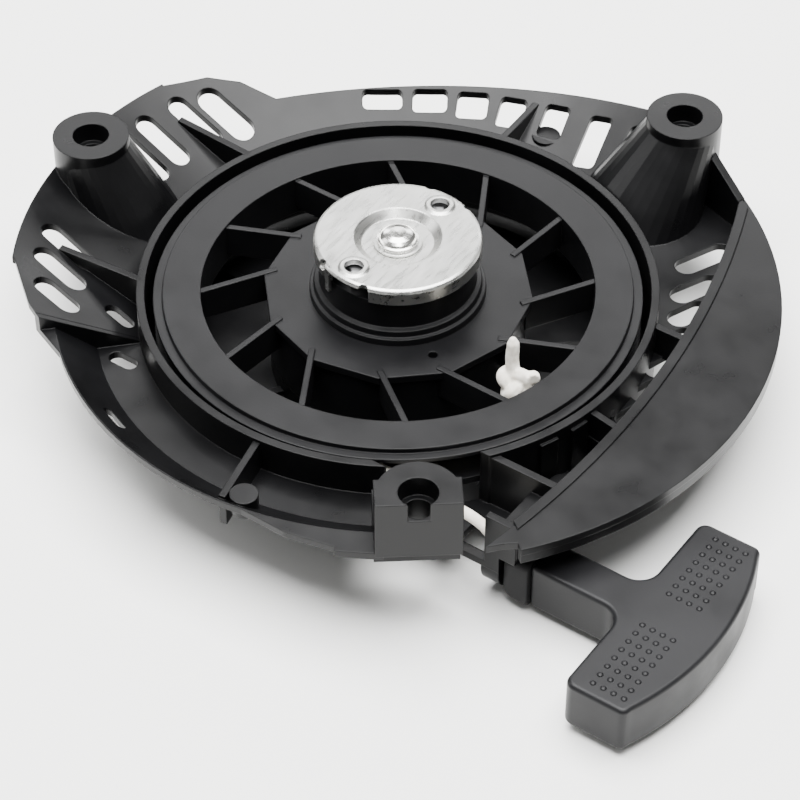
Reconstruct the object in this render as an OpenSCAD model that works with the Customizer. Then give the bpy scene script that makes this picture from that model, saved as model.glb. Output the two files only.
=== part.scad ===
// Recoil starter for a small vertical-shaft engine, lying on its outer face with its engine side up.
// The origin is on the reel's axis at the outer resting face. +Z points to the engine, and the rope is pulled along +X.

/* [Housing] */
// Height of the housing's rim above the resting face
rim_z = 30; // [29:0.5:31]
// Radius of the housing's rim on the rope side
rim_r = 107; // [106:0.5:108]
// Thickness of the housing's moulded walls
wall = 2.2; // [2:0.1:2.4]
// Inner radius of the ring wall round the reel
ring_wall_r = 70.8; // [70.6:0.1:71]

/* [Fixing bosses] */
// Radius of the circle that the three bosses stand on
boss_circle_r = 99; // [98.5:0.5:99.5]
// Direction of the first boss from the pull direction
boss_angle = 68; // [67:0.5:69]
// Height of the bosses above the rim
boss_height = 17.4; // [16.5:0.1:18]
// Radius of the bolt holes
bolt_hole_r = 3.5; // [3.3:0.1:3.6]

/* [Reel] */
// Radius of the reel's outer lip
reel_r = 68.5; // [68:0.1:69]
// Radius of the drum that the rope winds on
drum_r = 57.6; // [57:0.1:58]
// Radius of the housing post that the reel turns on
post_r = 8; // [7.5:0.1:8.5]
// Clearance between the post and the reel's bore
bore_clearance = 0.06; // [0.03:0.01:0.1]

/* [Ratchet] */
// Radius of the steel retainer plate
plate_r = 23.4; // [23:0.1:24]
// Height of the retainer plate above the rim
plate_height = 17.5; // [17:0.1:18]

/* [Rope and handle] */
// Diameter of the rope
rope_d = 3.2; // [3:0.1:3.4]
// Distance of the handle's axis from the reel's axis
handle_offset = 53.3; // [53:0.1:54]
// Height of the handle's centre plane
handle_z = 9.6; // [9.4:0.1:10]
// Length of the handle's crossbar
bar_length = 68; // [64:1:70]
// Thickness of the handle
grip_t = 14.8; // [14:0.2:15.2]

/* [Hidden] */
$fn = 96;
eps = 0.01;
rope_r = rope_d / 2;
deck_z = rim_z - 9.5;
wall_top_z = rim_z + 0.7;
ring_wall_outer_r = ring_wall_r + 2.3;
boss_top_z = rim_z + boss_height;
boss_r = 11;
floor_t = 2.4;
ridge_circle_r = 285;
ridge_x = 82.2;
ridge_y = -18;
lobe_slope = 0.5;
band_r = 85;
// Rope chamber, between the reel and the outlet
chamber_x = 74.5;
chamber_y = [-58.6, -42.4];
chamber_floor_z = 13;
// Reel levels
flange_t = 2.2;
reel_top_z = rim_z;
groove_top_z = reel_top_z - 2.6;
groove_bottom_z = groove_top_z - 7.9;
hub_disc_r = 38;
web_count = 12;
hub_top_z = rim_z + 12;
plate_z = rim_z + plate_height;
plate_t = 1.3;
cavity_r = 34;
spring_z = [9, 17];
plate_dip = 2.1;
post_top_z = plate_z - plate_dip - plate_t - 0.1;
shoulder_top_z = post_top_z + plate_t + 0.2;
washer_t = 0.7;
pawl_z = [hub_top_z + 0.3, hub_top_z + 3.6];
pawl_pivot_r = 15.5;
pawl_angles = [-130, 50];
grip_bottom_z = handle_z - grip_t / 2;
bar_arc_r = 80;
bar_front_x = 136;
bar_back_x = 111;
stem_x = 83;
stem_w = 11.8;
// The rope's own points from the reel to the outlet
rope_path = [
    [27, -57, 23.2], [36, -56.4, 22.6], [44, -55.8, 21.9], [52, -55.1, 20.9], [58, -54.4, 19.5],
    [62, -53.9, 18.4], [65.5, -53.5, 16.4], [68, -53.3, 13.4], [70.4, -53.3, 10.9], [74.4, -53.3, 9.6]
];
// Vent slots: centre x, centre y, length, width, direction
lobe_slots = [
    [-86, 33, 19, 8, 0], [-90.5, 24, 18.5, 6.6, 0], [-93, 11.5, 18, 6.6, 0], [-94, 2.4, 19, 5.8, 0],
    [-84, -42, 18, 6.6, 0], [-80, -51, 16.5, 6.6, 0], [-73.5, -60, 14, 6.6, 0]
];
back_slots = [
    [-53.7, 68.4, 6, 12, -54], [-41.6, 76.2, 7, 10.5, -58], [-29.8, 81.6, 8, 9.5, -64],
    [-18.2, 85.2, 9, 8, -73], [-5, 88.2, 10, 7.5, -78], [9.5, 87, 16, 6.8, -80], [21.7, 86.7, 18, 6.3, -88]
];
side_slots = [
    [59.6, 68.3, 19, 7, 66], [64.5, 55.8, 17, 7, 66], [68.3, 45.6, 14, 7, 68], [71.2, 34.5, 12, 6.4, 70],
    [73.6, 23, 12, 6, 72], [75.2, 12, 11, 5.6, 72], [76.4, 1, 10, 5.2, 72]
];
front_slots = [[-60, -50, 9, 4.4, 0], [-50, -61, 9, 4.4, 0], [-34, -84, 9, 2.4, -20]];
pocket_slots = [[75, -15.5, 9, 4.5, 72], [73.6, -26, 9, 4.5, 72]];

// ---------- helpers ----------

// A wedge of the plan, from angle a to angle b, out to radius r
module wedge(a, b, r = 160) {
    steps = ceil((b - a) / 30);
    polygon(concat([[0, 0]], [for (i = [0 : steps]) r * [cos(a + (b - a) * i / steps), sin(a + (b - a) * i / steps)]]));
}

// A disc limited to a wedge
module pie(r, a, b) {
    intersection() {
        circle(r = r, $fn = 180);
        wedge(a, b, r * 1.3);
    }
}

// A turned sheet from angle a to angle b
module turned(a, b) {
    rotate([0, 0, a]) rotate_extrude(angle = b - a, $fn = 180) children();
}

// A slot with round ends, in plan
module slot2d(s) {
    translate([s[0], s[1]]) rotate(s[4]) {
        square([s[2] - s[3], s[3]], center = true);
        for (e = [-1, 1]) translate([e * (s[2] - s[3]) / 2, 0]) circle(d = s[3], $fn = 32);
    }
}

// A wide slot has its corners rounded with a small radius instead
module pad2d(s, r = 1.5) {
    translate([s[0], s[1]]) rotate(s[4]) {
        square([s[2] - 2 * r, s[3]], center = true);
        square([s[2], s[3] - 2 * r], center = true);
        for (e = [-1, 1]) for (f = [-1, 1])
            translate([e * (s[2] / 2 - r), f * (s[3] / 2 - r)]) circle(r = r, $fn = 24);
    }
}

// A bar standing on edge between two plan points
module rib(p, q, z0, z1, t = 2) {
    d = q - p;
    translate([p[0], p[1], z0]) rotate([0, 0, atan2(d[1], d[0])])
        translate([0, -t / 2, 0]) cube([norm(d), t, z1 - z0]);
}

// A triangular gusset from the ring wall's top down to the deck's far end
module gusset(p, q, z0, z1, z2, t = 2, foot = 3) {
    d = q - p;
    translate([p[0], p[1], 0]) rotate([0, 0, atan2(d[1], d[0])]) translate([0, t / 2, 0]) rotate([90, 0, 0])
        linear_extrude(t) polygon([[0, z0], [norm(d), z2 - foot], [norm(d), z2], [0, z1]]);
}

// A round tube swept along a list of points
function tube_dir(path, i) = let (
    n = len(path), a = path[max(i - 1, 0)], b = path[min(i + 1, n - 1)], d = b - a
) d / norm(d);
function tube_ring(path, i, r, sides) = let (
    d = tube_dir(path, i), u0 = cross(d, [0, 0, 1]), u = u0 / norm(u0), v = cross(u, d)
) [for (k = [0 : sides - 1]) path[i] + r * (cos(360 * k / sides) * u + sin(360 * k / sides) * v)];
module tube(path, r, sides = 8) {
    n = len(path);
    points = [for (i = [0 : n - 1]) each tube_ring(path, i, r, sides)];
    walls = [for (i = [0 : n - 2]) for (k = [0 : sides - 1])
        [i * sides + k, i * sides + (k + 1) % sides, (i + 1) * sides + (k + 1) % sides, (i + 1) * sides + k]];
    first = [for (k = [0 : sides - 1]) sides - 1 - k];
    last = [for (k = [0 : sides - 1]) (n - 1) * sides + k];
    polyhedron(points, concat(walls, [first, last]), convexity = 6);
}

// ---------- housing ----------

// Plan outline of the whole rim
module outline() {
    circle(r = 90.6, $fn = 180);
    pie(96.5, 228, 300);
    pie(rim_r, -38, 57);
    polygon([
        [0, 0], 107 * [cos(56.5), sin(56.5)], 104.4 * [cos(60), sin(60)], 101 * [cos(65), sin(65)],
        101 * [cos(74), sin(74)]
    ]);
    pie(rim_r + 0.4, 166, 214);
    pie(103.6, 296, 326);
    intersection() {
        translate(42 * [cos(-48), sin(-48)]) circle(r = 132.6, $fn = 240);
        wedge(70, 152);
    }
    polygon([
        [0, 0], 107.4 * [cos(167), sin(167)], 104 * [cos(158.5), sin(158.5)], 99.5 * [cos(153.5), sin(153.5)],
        91 * [cos(148), sin(148)]
    ]);
    polygon([[0, 0], 107.4 * [cos(213), sin(213)], 102.5 * [cos(223), sin(223)], 96.5 * [cos(232), sin(232)]]);
    polygon([[0, 0], 96.4 * [cos(280), sin(280)], 100 * [cos(288), sin(288)], 103.3 * [cos(298), sin(298)]]);
    polygon([[0, 0], 103.2 * [cos(319), sin(319)], 106.6 * [cos(326), sin(326)]]);
}

// Everything on the reel's side of the ridge
module inside_ridge(grow = 0) {
    translate([ridge_x - ridge_circle_r, ridge_y]) circle(r = ridge_circle_r + grow, $fn = 360);
}

module sloped_deck(a, b, profile) {
    intersection() {
        turned(a, b) polygon(concat(profile, [for (i = [len(profile) - 1 : -1 : 0]) profile[i] - [0, wall]]));
        translate([0, 0, 5]) linear_extrude(60) outline();
    }
}

module deck() {
    r0 = ring_wall_r + 1;
    difference() {
        union() {
            sloped_deck(66, 225, [[r0, deck_z], [112, deck_z + (112 - r0) * lobe_slope]]);
            sloped_deck(225 - eps, 303, [[r0, deck_z], [band_r, deck_z], [96.1, rim_z], [110, rim_z]]);
            // step between the sloped lobe and the lower band
            intersection() {
                turned(224.6, 226) polygon([
                    [r0, deck_z - wall + 0.1], [band_r, deck_z - wall + 0.1], [96.1, rim_z - wall + 0.1],
                    [110, rim_z - wall + 0.1], [110, deck_z + (110 - r0) * lobe_slope - 0.1], [r0, deck_z - 0.1]
                ]);
                translate([0, 0, 5]) linear_extrude(60) outline();
            }
        }
        translate([0, 0, 5]) linear_extrude(50) {
            for (s = lobe_slots) slot2d(s);
            for (s = back_slots) pad2d(s);
            for (s = front_slots) slot2d(s);
        }
    }
    // flat deck inside the ridge on the rope side
    difference() {
        translate([0, 0, deck_z - wall]) linear_extrude(wall) difference() {
            intersection() {
                pie(rim_r - 0.5, -10, 66.5);
                inside_ridge();
            }
            circle(r = r0, $fn = 180);
        }
        translate([0, 0, 5]) linear_extrude(50) for (s = side_slots) slot2d(s);
    }
}

// The wide smooth crescent between the ridge and the rim
module crescent() {
    translate([0, 0, rim_z - wall]) linear_extrude(wall) difference() {
        intersection() {
            outline();
            wedge(-47, 60);
        }
        inside_ridge(-wall / 2);
    }
    // ridge wall, whose top stands proud as a low bead
    translate([0, 0, deck_z - wall]) linear_extrude(rim_z - deck_z + wall + 0.4) difference() {
        intersection() {
            pie(rim_r - 1, -37.2, 58);
            inside_ridge(0.7);
        }
        inside_ridge(-wall);
    }
    // skirt that turns down round the crescent's edge
    turned(-38, 54) polygon([
        [rim_r - wall, rim_z - 5], [rim_r - 0.1, rim_z - 5], [rim_r - 0.1, rim_z - 1], [rim_r - wall, rim_z - 1]
    ]);
}

// Bosses on tapered pedestals
module bosses() {
    foot_r = [19, 16];
    for (k = [0 : 2]) rotate([0, 0, boss_angle + 120 * k]) {
        foot_z = k < 2 ? rim_z - 6 : rim_z;
        translate([boss_circle_r, 0, foot_z]) cylinder(r = boss_r, h = boss_top_z - foot_z);
        if (k < 2) hull() {
            translate([boss_circle_r, 0, boss_top_z - 3]) cylinder(r = boss_r - 0.4, h = 0.5, $fn = 32);
            translate([103 - foot_r[k], 0, deck_z - 1]) cylinder(r = foot_r[k], h = 0.5, $fn = 32);
        }
    }
    // the front boss stands in a box that ends flat at the rim
    rotate([0, 0, boss_angle + 240]) {
        translate([84, -11.2, deck_z - wall]) cube([11, 22.4, rim_z - deck_z + 6]);
        translate([94, -11.2, rim_z - 1.2]) cube([9.4, 22.4, boss_height + 1.2]);
    }
    // web from the first boss down to the crescent's tip
    gusset(102.5 * [cos(63), sin(63)], 105.6 * [cos(55), sin(55)], deck_z - 1, rim_z + 9.5, rim_z + 0.6, 2.4, rim_z + 1.6 - deck_z);
}

// Walls and floor of the chamber that the rope crosses
module chamber() {
    x0 = 30;
    difference() {
        union() {
            translate([x0, chamber_y[0] - wall, chamber_floor_z - wall])
                cube([chamber_x - x0, chamber_y[1] - chamber_y[0] + 2 * wall, deck_z + 4 - chamber_floor_z + wall]);
            rib([50, chamber_y[1] + wall / 2], [80.4, chamber_y[1] + wall / 2], deck_z - 8, rim_z - 0.3, wall);
            rib([40, chamber_y[0] - wall / 2], [79.4, chamber_y[0] - wall / 2], deck_z - 4, rim_z - 0.3, wall);
            translate([0, 0, deck_z + 2]) linear_extrude(wall) intersection() {
                translate([72, chamber_y[0] - wall]) square([12, chamber_y[1] - chamber_y[0] + 2 * wall]);
                inside_ridge(-0.5);
            }
            // nozzle that the rope leaves through
            translate([69, -handle_offset, handle_z]) rotate([0, 90, 0]) cylinder(r = 7.4, h = chamber_x - 69);
        }
        cylinder(r = ring_wall_r + 1, h = 100);
        translate([x0, chamber_y[0], chamber_floor_z])
            cube([chamber_x - wall - x0, chamber_y[1] - chamber_y[0], 60]);
    }
}

// Deeper pocket between the chamber's side wall and the deck
module pocket() {
    difference() {
        translate([0, 0, 11]) linear_extrude(deck_z - 11 + 1) difference() {
            intersection() {
                pie(rim_r - 1, -32, -9);
                inside_ridge();
                translate([0, chamber_y[1] + eps]) square([100, 60]);
            }
            circle(r = ring_wall_r + 1, $fn = 180);
        }
        translate([0, 0, 11 + wall]) linear_extrude(30) difference() {
            intersection() {
                pie(rim_r - 1, -31.9, -10.6);
                inside_ridge(-wall);
                translate([0, chamber_y[1] + wall]) square([100, 60]);
            }
            circle(r = ring_wall_outer_r, $fn = 180);
        }
        translate([0, 0, 5]) linear_extrude(15) for (s = pocket_slots) slot2d(s);
    }
    // upright pads on the ring wall's outer face
    for (a = [-22, -14]) rotate([0, 0, a])
        translate([ring_wall_outer_r - 1, -2.8, 12]) cube([1.9, 5.6, wall_top_z - 14]);
    translate([74, -28.5, 12]) cylinder(r = 4.4, h = 4.5, $fn = 48);
}

// Post that carries the reel, and the cup round the recoil spring
module centre_post() {
    cylinder(r = post_r, h = post_top_z);
    for (a = [0 : 60 : 300]) rotate([0, 0, a]) translate([post_r - 1, -1.2, 0]) cube([56, 2.4, 4.4]);
    difference() {
        cylinder(r = cavity_r + wall, h = spring_z[0] - 0.6);
        translate([0, 0, floor_t]) cylinder(r = cavity_r, h = 30);
    }
}

module ribs() {
    // radial ribs from the ring wall to the rim
    rib(72 * [cos(-85.8), sin(-85.8)], 94.4 * [cos(-83.8), sin(-83.8)], deck_z - 1, rim_z - 0.4, 2);
    rib(72 * [cos(-9.5), sin(-9.5)], 82.6 * [cos(-9.5), sin(-9.5)], deck_z - 8, rim_z - 0.4, 2);
    rib(72 * [cos(22), sin(22)], 82.6 * [cos(19), sin(19)], deck_z - 1, rim_z - 0.4, 2);
    gusset(72 * [cos(99.5), sin(99.5)], 93 * [cos(98), sin(98)], deck_z - 1, wall_top_z, rim_z + 0.5);
    gusset(72 * [cos(162.5), sin(162.5)], 96 * [cos(167.5), sin(167.5)], deck_z - 1, wall_top_z, rim_z + 3.2);
    gusset(72 * [cos(214), sin(214)], 96 * [cos(207.7), sin(207.7)], deck_z - 1, wall_top_z, rim_z + 3.2);
    // short upright bumps beside the rim
    translate([14.3, -89.8, rim_z - 6]) cylinder(r = 3.8, h = 5.6, $fn = 48);
    translate([-5, 84.5, deck_z]) cylinder(r = 4.2, h = 5.5, $fn = 48);
}

module housing() {
    color([0.1, 0.1, 0.11]) difference() {
        union() {
            // well and ring wall
            rotate_extrude($fn = 180) polygon([
                [0, 0], [66, 0], [70.6, 1.4], [ring_wall_outer_r, 5], [ring_wall_outer_r, wall_top_z],
                [ring_wall_r, wall_top_z], [ring_wall_r, 5.5], [68.6, 3.6], [65, floor_t], [0, floor_t]
            ]);
            deck();
            crescent();
            difference() {
                bosses();
                cylinder(r = ring_wall_r + 0.6, h = 100, $fn = 180);
            }
            chamber();
            pocket();
            centre_post();
            ribs();
        }
        // way through the ring wall for the rope
        translate([20, chamber_y[0] - 3, chamber_floor_z]) cube([50, chamber_y[1] - chamber_y[0] + 2.6, 40]);
        // bolt holes with locating recesses
        for (k = [0 : 2]) rotate([0, 0, boss_angle + 120 * k]) translate([boss_circle_r, 0, 0]) {
            translate([0, 0, -1]) cylinder(r = bolt_hole_r, h = 100);
            translate([0, 0, boss_top_z - 6]) cylinder(r = 5.2, h = 20);
            if (k < 2) translate([0, 0, deck_z - 10]) cylinder(r = 6.6, h = 14.5);
        }
        rotate([0, 0, boss_angle + 240]) translate([103.4, -14, deck_z - 10]) cube([20, 28, 60]);
        // eyelet's seat, insert's seat in the post, outlet hole, and drain opening in the floor
        translate([60, -handle_offset, handle_z]) rotate([0, 90, 0]) cylinder(r = 5.8, h = chamber_x - 62.3, $fn = 48);
        translate([0, 0, 20]) cylinder(r = 5, h = 60);
        translate([60, -handle_offset, handle_z]) rotate([0, 90, 0]) cylinder(r = 4.4, h = 20, $fn = 48);
        translate([0, 0, -1]) linear_extrude(6) difference() {
            pie(56, 16, 42);
            circle(r = 45, $fn = 120);
        }
    }
}

module centre_insert() {
    color([0.7, 0.68, 0.6]) difference() {
        translate([0, 0, 20]) cylinder(r = 5, h = post_top_z - 20);
        translate([0, 0, 19]) cylinder(r = 3, h = 60);
    }
}

// ---------- spring and reel ----------

// Flat spiral that drives the reel back
module recoil_spring() {
    turns = 7;
    steps = 18;
    t = 0.7;
    inner = 8.6;
    pitch = (cavity_r - 2.5 - inner) / turns;
    n = turns * steps;
    color([0.35, 0.36, 0.38]) translate([0, 0, spring_z[0]]) linear_extrude(spring_z[1] - spring_z[0])
        polygon(concat(
            [for (i = [0 : n]) (inner + pitch * i / steps) * [cos(360 * i / steps), sin(360 * i / steps)]],
            [for (i = [n : -1 : 0]) (inner + t + pitch * i / steps) * [cos(360 * i / steps), sin(360 * i / steps)]]
        ));
}

// Swept web between the hub disc and the drum
module web(i) {
    outer_a = 7.5 + 360 / web_count * i;
    inner_a = outer_a - (i % 2 == 0 ? 10.5 : 14.5);
    rib(35 * [cos(inner_a), sin(inner_a)], 56 * [cos(outer_a), sin(outer_a)], groove_bottom_z, reel_top_z - 0.6, 1.7);
}

module reel() {
    color([0.12, 0.12, 0.13]) difference() {
        union() {
            // drum, face ring with its stepped lip, and lower flange
            rotate_extrude($fn = 180) polygon([
                [55.2, groove_bottom_z - flange_t], [reel_r, groove_bottom_z - flange_t],
                [reel_r, groove_bottom_z], [drum_r, groove_bottom_z], [drum_r, groove_top_z],
                [reel_r, groove_top_z], [reel_r, reel_top_z - 1.4], [66, reel_top_z - 1.4],
                [65.8, reel_top_z], [55.2, reel_top_z]
            ]);
            // hub disc
            translate([0, 0, reel_top_z - 3.2]) rotate([0, 0, -3]) cylinder(r = hub_disc_r, h = 2.2, $fn = 12);
            for (i = [0 : web_count - 1]) web(i);
        }
        cylinder(r = post_r + bore_clearance, h = 100);
        // room for the spring case under the hub disc
        cylinder(r = cavity_r + 2.3, h = reel_top_z - 3.2);
        // rope hole through the drum, and a locating hole in the hub disc
        rotate([0, 0, -15]) translate([50, 0, 22]) rotate([0, 90, 0]) cylinder(r = 2, h = 10, $fn = 32);
        translate([24, -17.6, 20]) cylinder(r = 1.3, h = 20, $fn = 24);
    }
}

// Case under the hub disc that holds the recoil spring, with the reel's bearing sleeve
module spring_case() {
    top_z = reel_top_z - 3.2;
    color([0.12, 0.12, 0.13]) rotate_extrude($fn = 120) polygon([
        [post_r + bore_clearance, 18.4], [11, 18.4], [11, top_z - 1], [cavity_r + 0.4, top_z - 1],
        [cavity_r + 0.4, 8.8], [cavity_r + 2.2, 8.8], [cavity_r + 2.2, top_z], [post_r + bore_clearance, top_z]
    ]);
}

// Stepped tower on the reel that houses the pawls
module pawl_hub() {
    color([0.12, 0.12, 0.13]) difference() {
        union() {
            rotate_extrude($fn = 120) polygon([
                [post_r + bore_clearance, reel_top_z - 1], [24.8, reel_top_z - 1], [24.6, reel_top_z + 1],
                [23.6, reel_top_z + 1.2], [23.4, reel_top_z + 3], [22, reel_top_z + 3.4], [21.7, hub_top_z],
                [post_r + bore_clearance, hub_top_z]
            ]);
            difference() {
                translate([0, 0, hub_top_z - 1]) cylinder(r = 21.7, h = 4.9);
                translate([0, 0, hub_top_z]) cylinder(r = 19.4, h = 10);
                for (a = [-97, 85]) rotate([0, 0, a])
                    translate([0, 0, hub_top_z]) linear_extrude(10) wedge(-25, 25, 40);
            }
            // pivots for the pawls
            for (a = pawl_angles) rotate([0, 0, a])
                translate([pawl_pivot_r, 0, hub_top_z - 1]) cylinder(r = 1.6, h = 4.8, $fn = 32);
        }
        translate([0, 0, 20]) cylinder(r = post_r + bore_clearance, h = 60);
    }
}

// The wound rope, as the ring that its turns fill
module rope_winding() {
    color([0.9, 0.88, 0.82]) rotate_extrude($fn = 120) polygon([
        [drum_r + 0.05, groove_bottom_z + 0.4], [drum_r + 3.3, groove_bottom_z + 0.4],
        [drum_r + 3.3, groove_top_z - 0.4], [drum_r + 0.05, groove_top_z - 0.4]
    ]);
}

// Knot in the reel's window, with the tail that stands up from it
module reel_knot() {
    color([0.93, 0.91, 0.85]) {
        rotate([0, 0, -15]) translate([47, 0, 22]) rotate([0, 90, 0]) cylinder(r = rope_r, h = drum_r - 47, $fn = 32);
        translate([46.8, -11.6, 26]) scale([1, 1.15, 1.2]) sphere(r = 5, $fn = 32);
        translate([44.8, -9.8, 27]) rotate([-4, -10, 0]) cylinder(r = rope_r * 1.15, h = 12.5, $fn = 32);
    }
}

module rope_run() {
    color([0.93, 0.91, 0.85]) tube(rope_path, rope_r, 10);
}

module rope_eyelet() {
    color([0.75, 0.75, 0.76]) translate([chamber_x, -handle_offset, handle_z]) rotate([0, -90, 0])
        rotate_extrude($fn = 48) polygon([[3, 0], [4.35, 0], [4.35, 2.3], [5.6, 2.3], [5.6, 3.2], [3.4, 3.2], [3, 2.6]]);
}

// ---------- ratchet ----------

module pawl(a) {
    h = pawl_z[1] - pawl_z[0];
    color([0.55, 0.56, 0.58]) rotate([0, 0, a]) translate([pawl_pivot_r, 0, pawl_z[0]]) difference() {
        union() {
            cylinder(r = 3.2, h = h, $fn = 48);
            rotate([0, 0, 104]) mirror([0, 1, 0]) {
                translate([0, -2.4, 0]) cube([11.4, 4, h - 0.4]);
                translate([9.4, -0.9, 0]) rotate([0, 0, 28]) cube([3.6, 3.2, h - 0.4]);
            }
        }
        translate([0, 0, -1]) cylinder(r = 1.66, h = 10, $fn = 48);
    }
}

module pawl_a() { pawl(pawl_angles[0]); }
module pawl_b() { pawl(pawl_angles[1]); }

// Small torsion spring round the foot of a pawl's pivot, with one leg along the hub's floor
module pawl_spring(a) {
    color([0.8, 0.8, 0.8]) rotate([0, 0, a]) translate([pawl_pivot_r, -6.2, hub_top_z + 0.15]) {
        rotate_extrude($fn = 32) translate([1.1, 0]) square([0.6, 1.8]);
        translate([1.1, 0, 0.2]) cube([0.6, 2.8, 0.6]);
    }
}

module pawl_spring_a() { pawl_spring(pawl_angles[0]); }
module pawl_spring_b() { pawl_spring(pawl_angles[1]); }

// Wire spring that drags on the plate, wound round the post's top
module friction_spring() {
    color([0.8, 0.8, 0.8]) for (i = [0 : 1]) translate([0, 0, hub_top_z + 0.6 + i * 0.9])
        rotate_extrude($fn = 64) translate([post_r + 0.75, 0]) circle(r = 0.42, $fn = 16);
}

module retainer_plate() {
    skirt_h = 4.8;
    color([0.78, 0.79, 0.8]) difference() {
        union() {
            rotate_extrude($fn = 120) polygon([
                [5.7, plate_z - plate_dip - plate_t], [10.4, plate_z - plate_dip - plate_t], [12.8, plate_z - plate_t],
                [plate_r - 1.3, plate_z - plate_t], [plate_r - 1.3, plate_z - skirt_h], [plate_r, plate_z - skirt_h],
                [plate_r, plate_z - 0.9], [plate_r - 0.4, plate_z - 0.25], [plate_r - 1.1, plate_z],
                [12.3, plate_z], [10, plate_z - plate_dip], [5.7, plate_z - plate_dip]
            ]);
            // rolled rims round the two small holes
            for (a = [-97.5, 83.5]) rotate([0, 0, a]) translate([17.7, 0, plate_z - 0.1])
                cylinder(r1 = 4.6, r2 = 3.7, h = 0.6, $fn = 64);
            // thin bent-down tabs that push the pawls out
            for (a = [-111.5, 71.5]) rotate([0, 0, a])
                translate([plate_r - 1, -0.9, plate_z - 8.6]) cube([0.9, 1.8, 8]);
        }
        for (a = [-97.5, 83.5]) rotate([0, 0, a])
            translate([17.7, 0, plate_z - 3]) cylinder(r = 2.7, h = 6, $fn = 48);
        // the skirt is open over the pawls
        for (a = [-96, 87]) rotate([0, 0, a]) difference() {
            translate([0, 0, plate_z - skirt_h - 1]) linear_extrude(skirt_h + 1 - plate_t) wedge(-21, 21, 40);
            translate([0, 0, plate_z - skirt_h - 2]) cylinder(r = plate_r - 1.4, h = skirt_h + 2);
            rotate([0, 0, -15.5]) translate([plate_r - 3, -1, 0]) cube([6, 2, 100]);
        }
        for (a = [-118, -79, 68, 102]) rotate([0, 0, a])
            translate([plate_r + 0.3, 0, plate_z - 3]) cylinder(r = 1.5, h = 6, $fn = 32);
    }
}

module screw_washer() {
    color([0.8, 0.8, 0.82]) translate([0, 0, shoulder_top_z]) difference() {
        cylinder(r = 6.9, h = washer_t);
        translate([0, 0, -1]) cylinder(r = 3.05, h = 4);
    }
}

// Screw with a shoulder that the plate turns on
module centre_screw() {
    z = shoulder_top_z + washer_t;
    color([0.8, 0.8, 0.82]) rotate_extrude($fn = 96) polygon([
        [0, 22], [2.9, 22], [2.9, post_top_z], [5.65, post_top_z], [5.65, shoulder_top_z], [2.9, shoulder_top_z],
        [2.9, z], [5.8, z], [5.8, z + 0.8], [5.2, z + 1], [4.9, z + 1.6], [4, z + 2.3], [2.4, z + 2.7], [0, z + 2.8]
    ]);
}

// ---------- handle ----------

// Plan outline of the crossbar, shrunk by d at its curved face
module bar_outline(d = 0) {
    intersection() {
        translate([bar_front_x - bar_arc_r, -handle_offset]) circle(r = bar_arc_r - d, $fn = 360);
        union() {
            translate([bar_back_x, -handle_offset - bar_length / 2 + 3]) square([40, bar_length - 6]);
            translate([bar_back_x + 3, -handle_offset - bar_length / 2]) square([40, bar_length]);
            for (e = [-1, 1]) translate([bar_back_x + 3, -handle_offset + e * (bar_length / 2 - 3)])
                circle(r = 3, $fn = 48);
        }
    }
}

// Concave fillets where the stem meets the crossbar
module stem_fillets(r = 6) {
    for (e = [-1, 1]) difference() {
        translate([bar_back_x - r, -handle_offset + (e > 0 ? stem_w / 2 : -stem_w / 2 - r)]) square([r + 1, r]);
        translate([bar_back_x - r, -handle_offset + e * (stem_w / 2 + r)]) circle(r = r, $fn = 64);
    }
}

module handle_grip() {
    color([0.13, 0.13, 0.14]) difference() {
        union() {
            translate([0, 0, grip_bottom_z]) linear_extrude(grip_t) {
                bar_outline();
                stem_fillets();
                translate([stem_x, -handle_offset - stem_w / 2]) square([bar_back_x - stem_x + 1, stem_w]);
            }
            // two fields of low round studs on each broad face
            for (side = [-1, 1]) for (i = [0 : 7]) for (j = [0 : 3])
                translate([117.4 + j * 3, -handle_offset + side * (6.5 + i * 3.35), grip_bottom_z + 0.2])
                    cylinder(r = 0.95, h = grip_t + 0.4, $fn = 16);
        }
        translate([0, -handle_offset, handle_z]) rotate([0, 90, 0]) cylinder(r = 2, h = 150, $fn = 32);
        translate([118, -handle_offset, handle_z]) rotate([0, 90, 0]) cylinder(r = 5.4, h = 40, $fn = 48);
        // recess for the cap along the curved face
        translate([0, 0, handle_z - 5.1]) linear_extrude(10.2) difference() {
            translate([125, -handle_offset - 30.1]) square([30, 60.2]);
            translate([bar_front_x - bar_arc_r, -handle_offset]) circle(r = bar_arc_r - 2, $fn = 360);
        }
    }
}

// Nose that seats in the housing's outlet
module grip_collar() {
    x0 = chamber_x + 0.35;
    color([0.11, 0.11, 0.12]) difference() {
        hull() {
            translate([x0, -handle_offset - 5.2, handle_z - 5.4]) cube([0.4, 10.4, 10.8]);
            translate([stem_x - 2, -handle_offset - 6.5, handle_z - 7.2]) cube([2, 13, 14.4]);
        }
        translate([x0 - 1, -handle_offset, handle_z]) rotate([0, 90, 0]) cylinder(r = 2, h = 20, $fn = 32);
        translate([x0 - eps, -handle_offset, handle_z]) rotate([0, 90, 0]) cylinder(r1 = 3, r2 = 2, h = 2, $fn = 32);
    }
}

module grip_cap() {
    color([0.15, 0.15, 0.16]) translate([0, 0, handle_z - 5]) linear_extrude(10) difference() {
        intersection() {
            translate([125, -handle_offset - 30]) square([30, 60]);
            translate([bar_front_x - bar_arc_r, -handle_offset]) circle(r = bar_arc_r - 0.5, $fn = 360);
        }
        translate([bar_front_x - bar_arc_r, -handle_offset]) circle(r = bar_arc_r - 1.95, $fn = 360);
    }
}

module grip_reinforcement() {
    color([0.7, 0.7, 0.7]) translate([118, -handle_offset, handle_z]) rotate([0, 90, 0]) difference() {
        cylinder(r = 5.2, h = 1.2, $fn = 48);
        translate([0, 0, -1]) cylinder(r = 1.8, h = 4, $fn = 32);
    }
}

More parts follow.
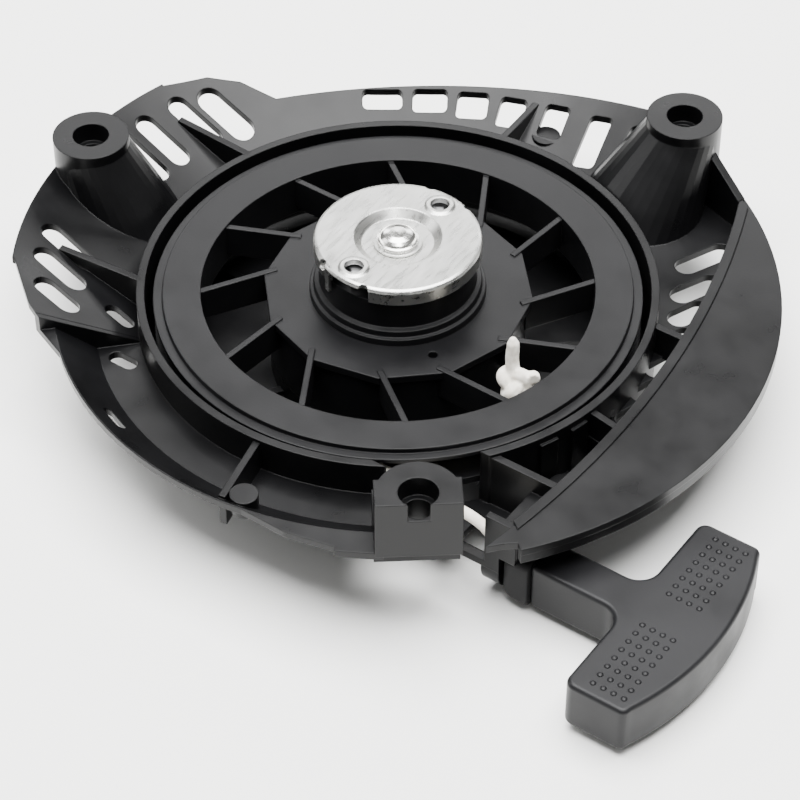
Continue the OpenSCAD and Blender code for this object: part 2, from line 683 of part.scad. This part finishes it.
module handle_rope() {
    color([0.93, 0.91, 0.85]) translate([chamber_x + 0.35, -handle_offset, handle_z]) rotate([0, 90, 0])
        cylinder(r = rope_r, h = 121 - chamber_x, $fn = 32);
}

module handle_knot() {
    color([0.93, 0.91, 0.85]) translate([125.6, -handle_offset, handle_z]) sphere(r = 4.2, $fn = 48);
}

housing();
centre_insert();
recoil_spring();
reel();
spring_case();
pawl_hub();
rope_winding();
reel_knot();
rope_run();
rope_eyelet();
pawl_a();
pawl_b();
pawl_spring_a();
pawl_spring_b();
friction_spring();
retainer_plate();
screw_washer();
centre_screw();
handle_grip();
grip_collar();
grip_cap();
grip_reinforcement();
handle_rope();
handle_knot();
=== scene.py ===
"""Looks of a recoil starter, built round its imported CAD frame. Lengths are metres, and MM is one millimetre."""
import math

import bmesh
import bpy
from mathutils import Matrix, Vector


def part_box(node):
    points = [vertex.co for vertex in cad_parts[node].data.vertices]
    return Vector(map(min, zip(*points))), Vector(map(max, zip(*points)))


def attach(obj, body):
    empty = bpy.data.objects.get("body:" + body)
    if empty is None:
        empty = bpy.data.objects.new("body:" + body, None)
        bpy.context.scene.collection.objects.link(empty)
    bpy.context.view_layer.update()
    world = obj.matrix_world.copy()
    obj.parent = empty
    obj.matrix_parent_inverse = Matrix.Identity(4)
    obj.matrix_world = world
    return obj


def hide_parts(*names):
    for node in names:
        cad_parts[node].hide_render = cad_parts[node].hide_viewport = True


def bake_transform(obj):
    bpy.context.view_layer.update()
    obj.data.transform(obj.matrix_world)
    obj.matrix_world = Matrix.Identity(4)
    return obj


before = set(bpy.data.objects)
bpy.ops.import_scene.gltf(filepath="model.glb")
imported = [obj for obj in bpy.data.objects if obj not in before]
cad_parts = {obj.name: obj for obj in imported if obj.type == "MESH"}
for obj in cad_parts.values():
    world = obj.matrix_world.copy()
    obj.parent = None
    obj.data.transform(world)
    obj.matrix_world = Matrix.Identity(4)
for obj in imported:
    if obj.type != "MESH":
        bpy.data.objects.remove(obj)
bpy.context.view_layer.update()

MM = 0.001
TAU = 2 * math.pi

# ---------- what the frame says ----------

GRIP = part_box("handle_grip")
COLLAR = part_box("grip_collar")
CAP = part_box("grip_cap")
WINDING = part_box("rope_winding")
PULL_Y = (GRIP[0][1] + GRIP[1][1]) / 2
PULL_Z = (COLLAR[0][2] + COLLAR[1][2]) / 2
ROPE_R = 1.6 * MM

# Depth of the braid's relief on a rope
BRAID = 0.09 * MM

# ---------- materials ----------


def new_material(name, color, roughness, metallic=0.0, specular=0.5):
    """A material with one Principled shader, whose fixed numbers are on its own sockets."""
    material = bpy.data.materials.new(name)
    material.use_nodes = True
    shader = material.node_tree.nodes["Principled BSDF"]
    shader.inputs["Base Color"].default_value = (*color, 1)
    shader.inputs["Roughness"].default_value = roughness
    shader.inputs["Metallic"].default_value = metallic
    shader.inputs["Specular IOR Level"].default_value = specular
    return material, shader


def add(material, kind, **values):
    node = material.node_tree.nodes.new(kind)
    for key, value in values.items():
        setattr(node, key, value)
    return node


def link(material, source, target):
    material.node_tree.links.new(source, target)


def noise(material, scale, detail=4.0, stretch=(1, 1, 1)):
    """Noise over the object's own coordinates, in metres, stretched along an axis for brushing."""
    place = add(material, "ShaderNodeTexCoord")
    mapping = add(material, "ShaderNodeMapping")
    mapping.inputs["Scale"].default_value = stretch
    texture = add(material, "ShaderNodeTexNoise")
    texture.inputs["Scale"].default_value = scale
    texture.inputs["Detail"].default_value = detail
    link(material, place.outputs["Object"], mapping.inputs["Vector"])
    link(material, mapping.outputs["Vector"], texture.inputs["Vector"])
    return texture.outputs["Fac"]


def ramp(material, factor, low, high, start=0.3, stop=0.7):
    """Turns a factor into a range of numbers or of colours."""
    node = add(material, "ShaderNodeMapRange")
    node.inputs["From Min"].default_value = start
    node.inputs["From Max"].default_value = stop
    node.inputs["To Min"].default_value = low
    node.inputs["To Max"].default_value = high
    link(material, factor, node.inputs["Value"])
    return node.outputs["Result"]


def tint(material, shader, factor, dark, light):
    node = add(material, "ShaderNodeMix", data_type="RGBA")
    node.inputs["A"].default_value = (*dark, 1)
    node.inputs["B"].default_value = (*light, 1)
    link(material, factor, node.inputs["Factor"])
    link(material, node.outputs["Result"], shader.inputs["Base Color"])


def bump(material, shader, height, strength, distance, edge=0.5 * MM):
    """Surface relief over softly rounded edges."""
    rounded = add(material, "ShaderNodeBevel", samples=4)
    rounded.inputs["Radius"].default_value = edge
    node = add(material, "ShaderNodeBump")
    link(material, rounded.outputs["Normal"], node.inputs["Normal"])
    node.inputs["Strength"].default_value = strength
    node.inputs["Distance"].default_value = distance
    link(material, height, node.inputs["Height"])
    link(material, node.outputs["Normal"], shader.inputs["Normal"])


def moulded_plastic(name, dark, light, gloss, grain=1400, relief=0.25):
    """Moulded nylon: fine spark-erosion grain over slow changes of shade and gloss."""
    material, shader = new_material(name, dark, gloss[0], specular=0.2)
    cloud = noise(material, 45, 5)
    tint(material, shader, ramp(material, cloud, 0, 1), dark, light)
    link(material, ramp(material, noise(material, 90, 3), *gloss), shader.inputs["Roughness"])
    bump(material, shader, noise(material, grain, 2), relief, 0.05 * MM)
    return material


def plated_steel(name, dark, light, gloss, stretch):
    """Metal with fine rolling marks along one axis, and patches that differ a little in shade."""
    material, shader = new_material(name, light, gloss[0], metallic=1.0)
    tint(material, shader, ramp(material, noise(material, 120, 4), 0, 1), dark, light)
    link(material, ramp(material, noise(material, 900, 6, stretch), *gloss), shader.inputs["Roughness"])
    bump(material, shader, noise(material, 1500, 3, stretch), 0.12, 0.02 * MM)
    return material


def rope_fibre():
    """Braided polyester: mottled off-white, with fine fibres and a soft sheen."""
    material, shader = new_material("rope_fibre", (0.8, 0.76, 0.68), 0.85)
    mottle = ramp(material, noise(material, 500, 5), 0, 1)
    tint(material, shader, mottle, (0.66, 0.61, 0.52), (0.86, 0.83, 0.76))
    bump(material, shader, noise(material, 2600, 4), 0.5, 0.12 * MM)
    shader.inputs["Sheen Weight"].default_value = 0.25
    return material


# Each row: name, dark shade, light shade, range of roughness, then the grain's scale and relief or the brushing
HOUSING_PLASTIC = moulded_plastic(
    "housing_moulding", (0.0018, 0.0018, 0.002), (0.0036, 0.0036, 0.004), (0.27, 0.36)
)
REEL_PLASTIC = moulded_plastic("reel_moulding", (0.003, 0.003, 0.0034), (0.0052, 0.0052, 0.0058), (0.3, 0.4))
GRIP_PLASTIC = moulded_plastic(
    "grip_moulding", (0.005, 0.005, 0.0056), (0.008, 0.008, 0.009), (0.36, 0.48), 1900, 0.35
)
CAP_PLASTIC = moulded_plastic("cap_moulding", (0.006, 0.006, 0.0066), (0.0095, 0.0095, 0.0105), (0.26, 0.36))
COLLAR_RUBBER = moulded_plastic(
    "collar_rubber", (0.006, 0.006, 0.0064), (0.0095, 0.0095, 0.01), (0.55, 0.68), 1100
)
ZINC = plated_steel("zinc_plate", (0.5, 0.5, 0.485), (0.62, 0.62, 0.6), (0.24, 0.36), (1, 0.15, 1))
SCREW_STEEL = plated_steel("screw_plate", (0.6, 0.6, 0.58), (0.8, 0.79, 0.76), (0.12, 0.24), (1, 1, 0.2))
SPRING_STEEL = plated_steel("spring_wire", (0.24, 0.25, 0.27), (0.38, 0.39, 0.41), (0.24, 0.4), (1, 1, 0.1))
PAWL_STEEL = plated_steel("pawl_steel", (0.3, 0.3, 0.31), (0.45, 0.45, 0.46), (0.35, 0.5), (0.3, 1, 1))
BRASS = plated_steel("insert_metal", (0.6, 0.46, 0.2), (0.78, 0.62, 0.32), (0.25, 0.4), (1, 1, 0.1))
ROPE = rope_fibre()

# ---------- mesh helpers ----------


def finish_piece(mesh, name, body, material, replaces=(), smooth=True):
    piece = bpy.data.objects.new(name, mesh)
    bpy.context.collection.objects.link(piece)
    piece.data.materials.append(material)
    for polygon in mesh.polygons:
        polygon.use_smooth = smooth
    if body:
        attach(piece, body)
    if replaces:
        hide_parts(*replaces)
    return piece


def build(name, vertices, faces):
    mesh = bpy.data.meshes.new(name)
    mesh.from_pydata([tuple(v) for v in vertices], [], faces)
    work = bmesh.new()
    work.from_mesh(mesh)
    bmesh.ops.remove_doubles(work, verts=work.verts, dist=1e-7)
    bmesh.ops.recalc_face_normals(work, faces=work.faces)
    work.to_mesh(mesh)
    work.free()
    return mesh


def joined(meshes):
    """The first mesh, with all the others added to it."""
    work = bmesh.new()
    for mesh in meshes:
        work.from_mesh(mesh)
    work.to_mesh(meshes[0])
    work.free()
    return meshes[0]


def swept_faces(rings, sides):
    """Quads that join one ring of points to the next, and a flat face at each end."""
    faces = []
    for i in range(rings - 1):
        for k in range(sides):
            n = (k + 1) % sides
            faces.append((i * sides + k, i * sides + n, (i + 1) * sides + n, (i + 1) * sides + k))
    faces.append(tuple(range(sides)))
    faces.append(tuple(rings * sides - 1 - k for k in range(sides)))
    return faces


def bevelled(piece, width, segments, angle):
    weld = piece.modifiers.new("weld", "WELD")
    weld.merge_threshold = 1e-6
    modifier = piece.modifiers.new("round_edges", "BEVEL")
    modifier.width = width
    modifier.segments = segments
    modifier.limit_method = "ANGLE"
    modifier.angle_limit = math.radians(angle)
    modifier.harden_normals = True


def smooth_curve(points, step):
    """Points a fixed step apart along a Catmull-Rom curve through the given ones."""
    ends = [points[0] * 2 - points[1]] + points + [points[-1] * 2 - points[-2]]
    dense = []
    for a, b, c, d in zip(ends, ends[1:], ends[2:], ends[3:]):
        for k in range(12):
            t = k / 12
            square = (2 * a - 5 * b + 4 * c - d) * t**2
            cube = (3 * b - a - 3 * c + d) * t**3
            dense.append(0.5 * (2 * b + (c - a) * t + square + cube))
    dense.append(points[-1])
    out, carry = [dense[0]], 0.0
    for a, b in zip(dense, dense[1:]):
        length = (b - a).length
        while carry + length >= step:
            a = a + (b - a) * ((step - carry) / length)
            length = (b - a).length
            carry = 0.0
            out.append(a)
        carry += length
    if (out[-1] - dense[-1]).length > step * 0.3:
        out.append(dense[-1])
    return out


def tube(name, path, radius, sides=20, braid=0.0, strands=4, pitch=9 * MM):
    """A closed round tube with crossed strands in relief. Radius may be a function of the share covered."""
    size = radius if callable(radius) else (lambda share: radius)
    across = (path[1] - path[0]).orthogonal().normalized()
    vertices, run = [], 0.0
    for i, point in enumerate(path):
        ahead = (path[min(i + 1, len(path) - 1)] - path[max(i - 1, 0)]).normalized()
        across = (across - ahead * across.dot(ahead)).normalized()
        up = ahead.cross(across)
        run += (point - path[i - 1]).length if i else 0
        for k in range(sides):
            angle = TAU * k / sides
            wave = abs(math.sin(strands / 2 * angle + math.pi * run / pitch * 2))
            other = abs(math.sin(strands / 2 * angle - math.pi * run / pitch * 2))
            r = size(i / (len(path) - 1)) - braid * (1 - max(wave, other)) * 2
            vertices.append(point + (across * math.cos(angle) + up * math.sin(angle)) * r)
    return build(name, vertices, swept_faces(len(path), sides))


def points(*triples):
    return [Vector(p) * MM for p in triples]


# ---------- rope ----------


def pull_rope():
    """The rope from its winding, through the eyelet and the handle, to the knot behind the cap."""
    route = points(
        (27, -57, 23.2), (36, -56.4, 22.6), (44, -55.8, 21.9), (52, -55.1, 20.9), (58, -54.4, 19.5),
        (62, -53.9, 18.4), (65.5, -53.5, 16.4), (68, -53.3, 13.4), (70.4, -53.3, 10.9), (74.4, -53.3, 9.6),
        (84, -53.3, 9.6), (100, -53.3, 9.6), (121, -53.3, 9.6)
    )
    mesh = tube("pull_rope", smooth_curve(route, 0.5 * MM), ROPE_R, 20, BRAID, 8)
    rope = finish_piece(mesh, "pull_rope", None, ROPE, ("rope_run", "handle_rope"))
    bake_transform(rope)


def wound_rope():
    """Turns that lie on the drum, between the reel's flanges."""
    middle = WINDING[1][0] - ROPE_R - 0.1 * MM
    low = WINDING[0][2] + ROPE_R
    high = WINDING[1][2] - ROPE_R
    turns, first_angle = 2.2, -1.1
    count = int(turns * 240)
    path = []
    for i in range(count + 1):
        angle = TAU * turns * i / count + first_angle
        z = low + (high - low) * i / count
        path.append(Vector((middle * math.cos(angle), middle * math.sin(angle), z)))
    mesh = tube("wound_rope", path, ROPE_R, 14, BRAID, 6)
    finish_piece(mesh, "wound_rope", "reel", ROPE, ("rope_winding",))


def knot_mesh(name, centre, size, thick, tilt):
    """A pulled-tight overhand knot: a trefoil of rope tilted about X, its three lobes pressed together."""
    lean = Matrix.Rotation(tilt, 3, "X")
    steps = 120
    path = []
    for i in range(steps + 1):
        t = TAU * i / steps + 0.4
        x = (math.sin(t) + 2 * math.sin(2 * t)) * 0.33
        y = (math.cos(t) - 2 * math.cos(2 * t)) * 0.33
        z = -math.sin(3 * t) * 0.45
        path.append(centre + lean @ (Vector((x, y, z)) * size))
    return tube(name, path, thick, 16, 0.1 * MM, 6, 7 * MM)


def reel_knot():
    """The knot that holds the rope in the reel, with its heat-sealed tail standing up."""
    centre = Vector((46.8, -11.6, 26.2)) * MM
    step = 0.4 * MM
    stub = points((57.4, -15.6, 22.3), (53.5, -13.6, 22.8), (50.5, -11.8, 24.6), (47.5, -11, 26.4))
    ear = points((47.5, -11, 26), (49.8, -9.6, 28.2), (51.4, -9.4, 29.4), (52.4, -10.6, 29.6))
    tail = points((46.4, -12, 26), (45.4, -10.6, 29), (44.6, -9.8, 33), (44.4, -9.2, 37), (44, -8.9, 39.4))

    def tail_radius(share):
        """Thins slowly, then closes to a blunt sealed tip over the last 15% of the way."""
        return (2.1 - 0.35 * share - 1.1 * max(0, share - 0.85) / 0.15) * MM

    whole = joined([
        knot_mesh("reel_knot", centre, 3.7 * MM, 2.1 * MM, 0.7),
        tube("stub", smooth_curve(stub, step), ROPE_R, 16, BRAID, 8),
        tube("ear", smooth_curve(ear, step), 1.7 * MM, 16, BRAID, 8),
        tube("tail", smooth_curve(tail, step), tail_radius, 16, 0.12 * MM, 6)
    ])
    piece = finish_piece(whole, "reel_knot_tied", "reel", ROPE, ("reel_knot",))
    remesh = piece.modifiers.new("fuse", "REMESH")
    remesh.mode = "VOXEL"
    remesh.voxel_size = 0.32 * MM
    relax = piece.modifiers.new("relax", "SMOOTH")
    relax.iterations = 3
    relax.factor = 0.5


def handle_knot():
    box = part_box("handle_knot")
    centre = (Vector(box[0]) + Vector(box[1])) / 2
    mesh = knot_mesh("handle_knot_tied", centre, 2.3 * MM, 1.5 * MM, 1.2)
    finish_piece(mesh, "handle_knot_tied", "handle", ROPE, ("handle_knot",))


# ---------- springs ----------


def coil_path(centre, radius, pitch, turns, steps=24):
    return [
        Vector(centre) + Vector((
            radius * math.cos(TAU * i / steps), radius * math.sin(TAU * i / steps), pitch * i / steps
        ))
        for i in range(int(turns * steps) + 1)
    ]


def wire_spring(node, body, wire, turns, leg=None):
    """A wound wire spring that fills its node's box, with a leg that runs out of its last turn."""
    low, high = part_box(node)
    low, high = Vector(low), Vector(high)
    radius = min(high.x - low.x, high.y - low.y) / 2 - wire
    centre = Vector(((low.x + high.x) / 2, (low.y + high.y) / 2, low.z + wire))
    path = coil_path(centre, radius, (high.z - low.z - 2 * wire) / turns, turns)
    if leg:
        path = path + [path[-1] + Vector(leg) * MM * reach for reach in (0.4, 0.8, 1.2)]
    mesh = tube(node + "_wire", path, wire, 10)
    finish_piece(mesh, node + "_wire", body, SPRING_STEEL, (node,))


def recoil_strip():
    """The flat strip, wound seven turns between the post and the reel's wall."""
    low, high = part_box("recoil_spring")
    inner, thick, turns, steps = 8.6 * MM, 0.7 * MM, 7, 90
    outer = high[0] - thick
    count = turns * steps
    vertices = []
    for i in range(count + 1):
        angle = TAU * i / steps
        r = inner + (outer - inner) * i / count
        direction = Vector((math.cos(angle), math.sin(angle), 0))
        for radius, z in ((r, low[2]), (r + thick, low[2]), (r + thick, high[2]), (r, high[2])):
            vertices.append(direction * radius + Vector((0, 0, z)))
    mesh = build("recoil_strip", vertices, swept_faces(count + 1, 4))
    piece = finish_piece(mesh, "recoil_strip", "housing", SPRING_STEEL, ("recoil_spring",))
    bevelled(piece, 0.12 * MM, 2, 50)


# ---------- handle ----------

BAR_HALF = (GRIP[1][1] - GRIP[0][1]) / 2
BAR_BACK = 111 * MM
ARC_R = 80 * MM
FRONT_CORNER = 2.4 * MM
BACK_CORNER = 3 * MM
STEM_HALF = 5.9 * MM
FILLET = 6 * MM


def arc(cx, cy, r, start, stop, steps):
    """Plan points of an arc, in degrees, ends included."""
    angles = [math.radians(start + (stop - start) * i / steps) for i in range(steps + 1)]
    return [(cx + r * math.cos(a), cy + r * math.sin(a)) for a in angles]


def grip_outline():
    """The grip's plan about the pull axis: one half, then its mirror image."""
    centre = GRIP[1][0] - ARC_R
    reach = math.degrees(math.asin((BAR_HALF - FRONT_CORNER) / ARC_R))
    half = arc(centre, 0, ARC_R, 0, reach, 26)
    half += arc(half[-1][0] - FRONT_CORNER, BAR_HALF - FRONT_CORNER, FRONT_CORNER, 30, 90, 6)
    half += arc(BAR_BACK + BACK_CORNER, BAR_HALF - BACK_CORNER, BACK_CORNER, 90, 180, 8)
    half += arc(BAR_BACK - FILLET, STEM_HALF + FILLET, FILLET, 0, -90, 12)
    half.append((GRIP[0][0] + 0.2 * MM, STEM_HALF))
    return half + [(x, -y) for x, y in reversed(half) if y > 1e-9]


def grip_body():
    """The T-shaped moulding as one rounded slab. It reaches past the cap panel and covers it."""
    stud_height = 0.2 * MM
    low, high = GRIP[0][2] + stud_height, GRIP[1][2] - stud_height
    plan = grip_outline()
    vertices = [(x, PULL_Y + y, z) for z in (low, high) for x, y in plan]
    n = len(plan)
    faces = [tuple(range(n)), tuple(range(2 * n - 1, n - 1, -1))]
    faces += [(i, (i + 1) % n, n + (i + 1) % n, n + i) for i in range(n)]
    mesh = build("grip_body", vertices, faces)
    piece = finish_piece(mesh, "grip_body", "handle", GRIP_PLASTIC, ("handle_grip",))
    bevelled(piece, 1.3 * MM, 5, 50)


def stud(vertices, faces, x, y, face_z, top):
    """Adds one domed stud that stands on a broad face, upwards where top is 1 and downwards where it is -1."""
    rings, sides = 4, 14
    radius, height, sunk = 0.95 * MM, 0.62 * MM, 0.2 * MM
    base = len(vertices)
    for ring in range(rings):
        tilt = math.pi / 2 * ring / rings
        r = radius * math.cos(tilt)
        z = face_z + top * (height * math.sin(tilt) - sunk)
        for k in range(sides):
            a = TAU * k / sides
            vertices.append((x + r * math.cos(a), y + r * math.sin(a), z))
    tip = len(vertices)
    vertices.append((x, y, face_z + top * (height - sunk)))
    root = len(vertices)
    vertices.append((x, y, face_z - top * 0.3 * MM))
    for ring in range(rings - 1):
        low = base + ring * sides
        up = low + sides
        for k in range(sides):
            m = (k + 1) % sides
            faces.append((low + k, low + m, up + m, up + k))
    last = base + (rings - 1) * sides
    for k in range(sides):
        m = (k + 1) % sides
        faces.append((last + k, last + m, tip))
        faces.append((base + m, base + k, root))


def grip_studs():
    """Two fields of domed studs on each broad face."""
    inset = 0.25 * MM
    vertices, faces = [], []
    for face_z, top in ((GRIP[1][2] - inset, 1), (GRIP[0][2] + inset, -1)):
        for side in (-1, 1):
            for i in range(8):
                for j in range(4):
                    x = (117.4 + j * 3) * MM
                    y = PULL_Y + side * (6.5 + i * 3.35) * MM
                    stud(vertices, faces, x, y, face_z, top)
    finish_piece(build("grip_studs", vertices, faces), "grip_studs", "handle", GRIP_PLASTIC)


def slab_on_arc(name, y0, y1, z0, z1, inner, outer, steps):
    """A thin slab bent along the grip's curved face."""
    centre = GRIP[1][0] - ARC_R
    vertices = []
    for i in range(steps + 1):
        y = y0 + (y1 - y0) * i / steps
        for r, z in ((inner, z0), (outer, z0), (outer, z1), (inner, z1)):
            vertices.append((centre + math.sqrt(r * r - y * y), PULL_Y + y, z))
    return build(name, vertices, swept_faces(steps + 1, 4))


def cap_ridges():
    """Low border and ridges on the cap panel. They end below the grip's curved face, so the body hides them."""
    inner = ARC_R - 0.55 * MM
    outer = ARC_R - 0.2 * MM
    middle = (CAP[0][2] + CAP[1][2]) / 2
    border_half, border_length = 0.25 * MM, 29 * MM
    ridge_half, ridge_reach = 0.3 * MM, 2.6
    parts = []
    for side in (-1, 1):
        z = middle + side * 4.2 * MM
        parts.append(slab_on_arc(
            "cap_ridges", -border_length, border_length, z - border_half, z + border_half, inner, outer, 24
        ))
    for side in (-1, 1):
        for i in range(5):
            y = side * (15 + i * 2.6) * MM
            low = middle - ridge_reach * MM
            high = middle + (ridge_reach - 0.5 * i) * MM
            parts.append(slab_on_arc("ridge", y - ridge_half, y + ridge_half, low, high, inner, outer, 2))
    piece = finish_piece(joined(parts), "cap_ridges", "handle", CAP_PLASTIC, smooth=False)
    bevelled(piece, 0.12 * MM, 2, 40)


def rounded_section(x, width, height, corner, steps=6):
    """A rounded rectangle across the pull axis."""
    ring = []
    for cy, cz, start in ((1, 1, 0), (-1, 1, 90), (-1, -1, 180), (1, -1, 270)):
        for i in range(steps + 1):
            a = math.radians(start + 90 * i / steps)
            y = cy * (width / 2 - corner) + corner * math.cos(a)
            z = cz * (height / 2 - corner) + corner * math.sin(a)
            ring.append(Vector((x, PULL_Y + y, PULL_Z + z)))
    return ring


def nose_collar():
    """Rubber collar round the stem's nose, larger than the stem, with a shallow hole round the rope."""
    start = COLLAR[0][0] / MM
    stem = COLLAR[1][0] / MM
    # Along the pull axis: place, width, height and corner radius of each section
    sections = [
        (start + 2, 4, 4, 1.95), (start, 6.4, 6.4, 3.1), (start, 11, 11.6, 3), (start + 0.5, 12.6, 13.6, 3),
        (start + 1.8, 13.8, 15.2, 2.8), (start + 4, 14.2, 15.6, 2.6), (stem - 0.6, 14.2, 15.6, 2.4),
        (stem - 0.1, 13.8, 15.2, 2.3), (stem + 0.1, 12.8, 14.2, 2)
    ]
    rings = [rounded_section(*(size * MM for size in section)) for section in sections]
    vertices = [vertex for ring in rings for vertex in ring]
    mesh = build("nose_collar", vertices, swept_faces(len(rings), len(rings[0])))
    piece = finish_piece(mesh, "nose_collar", "handle", COLLAR_RUBBER, ("grip_collar",))
    rounding = piece.modifiers.new("rounding", "SUBSURF")
    rounding.levels = 1
    rounding.render_levels = 1


# ---------- pieces of the CAD that keep their shape ----------

# Material, then the width of the rounded edges in millimetres where they are cut, and how finely
KEPT = {
    "housing": (HOUSING_PLASTIC,),
    "reel": (REEL_PLASTIC,),
    "spring_case": (REEL_PLASTIC,),
    "pawl_hub": (REEL_PLASTIC,),
    "retainer_plate": (ZINC,),
    "screw_washer": (ZINC, 0.12),
    "centre_screw": (SCREW_STEEL,),
    "rope_eyelet": (ZINC, 0.2, 3),
    "centre_insert": (BRASS, 0.2),
    "pawl_a": (PAWL_STEEL, 0.25),
    "pawl_b": (PAWL_STEEL, 0.25),
    "grip_cap": (CAP_PLASTIC, 0.3, 3),
    "grip_reinforcement": (ZINC, 0.2),
}


def dress(node, material, width=0, segments=2):
    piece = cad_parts[node]
    for slot in piece.material_slots:
        slot.material = material
    if width:
        bevelled(piece, width * MM, segments, 40)


# ---------- camera, light, floor ----------


def camera():
    data = bpy.data.cameras.new("view")
    data.lens = 126
    data.clip_end = 10
    eye = bpy.data.objects.new("view", data)
    eye.location = (0.3387, -0.4827, 0.5467)
    eye.rotation_euler = (math.radians(46.4), 0, math.radians(35))
    bpy.context.collection.objects.link(eye)
    bpy.context.scene.camera = eye


def area_light(name, place, size, power, aim=(0, 0, 0.02)):
    data = bpy.data.lights.new(name, "AREA")
    data.shape = "RECTANGLE"
    data.size, data.size_y = size
    data.energy = power
    light = bpy.data.objects.new(name, data)
    light.location = place
    light.rotation_euler = (Vector(aim) - Vector(place)).to_track_quat("-Z", "Y").to_euler()
    bpy.context.collection.objects.link(light)


def studio():
    world = bpy.data.worlds.new("studio")
    world.use_nodes = True
    sky = world.node_tree.nodes["Background"]
    sky.inputs["Color"].default_value = (1, 1, 0.99, 1)
    sky.inputs["Strength"].default_value = 0.32
    bpy.context.scene.world = world
    area_light("overhead", (0, 0.05, 1.5), (1.5, 1.5), 130)
    area_light("back_strip", (-0.5, 0.8, 0.6), (1.2, 0.25), 7)
    area_light("left_soft", (-0.95, -0.4, 0.55), (0.4, 0.9), 5)
    half, level = 3, -0.4 * MM
    corners = [(-half, -half, level), (half, -half, level), (half, half, level), (-half, half, level)]
    mesh = build("floor", corners, [(0, 1, 2, 3)])
    floor = bpy.data.objects.new("floor", mesh)
    paint, shader = new_material("floor_paint", (0.9, 0.9, 0.885), 0.8)
    link(paint, ramp(paint, noise(paint, 3, 2), 0.78, 0.84), shader.inputs["Roughness"])
    mesh.materials.append(paint)
    bpy.context.collection.objects.link(floor)


camera()
studio()
pull_rope()
wound_rope()
reel_knot()
handle_knot()
recoil_strip()
wire_spring("pawl_spring_a", "reel", 0.3 * MM, 3, (1.2, 1.2, 0))
wire_spring("pawl_spring_b", "reel", 0.3 * MM, 3, (-1.2, -1.2, 0))
wire_spring("friction_spring", "plate", 0.42 * MM, 2)
grip_body()
grip_studs()
cap_ridges()
nose_collar()
for node, look in KEPT.items():
    dress(node, *look)
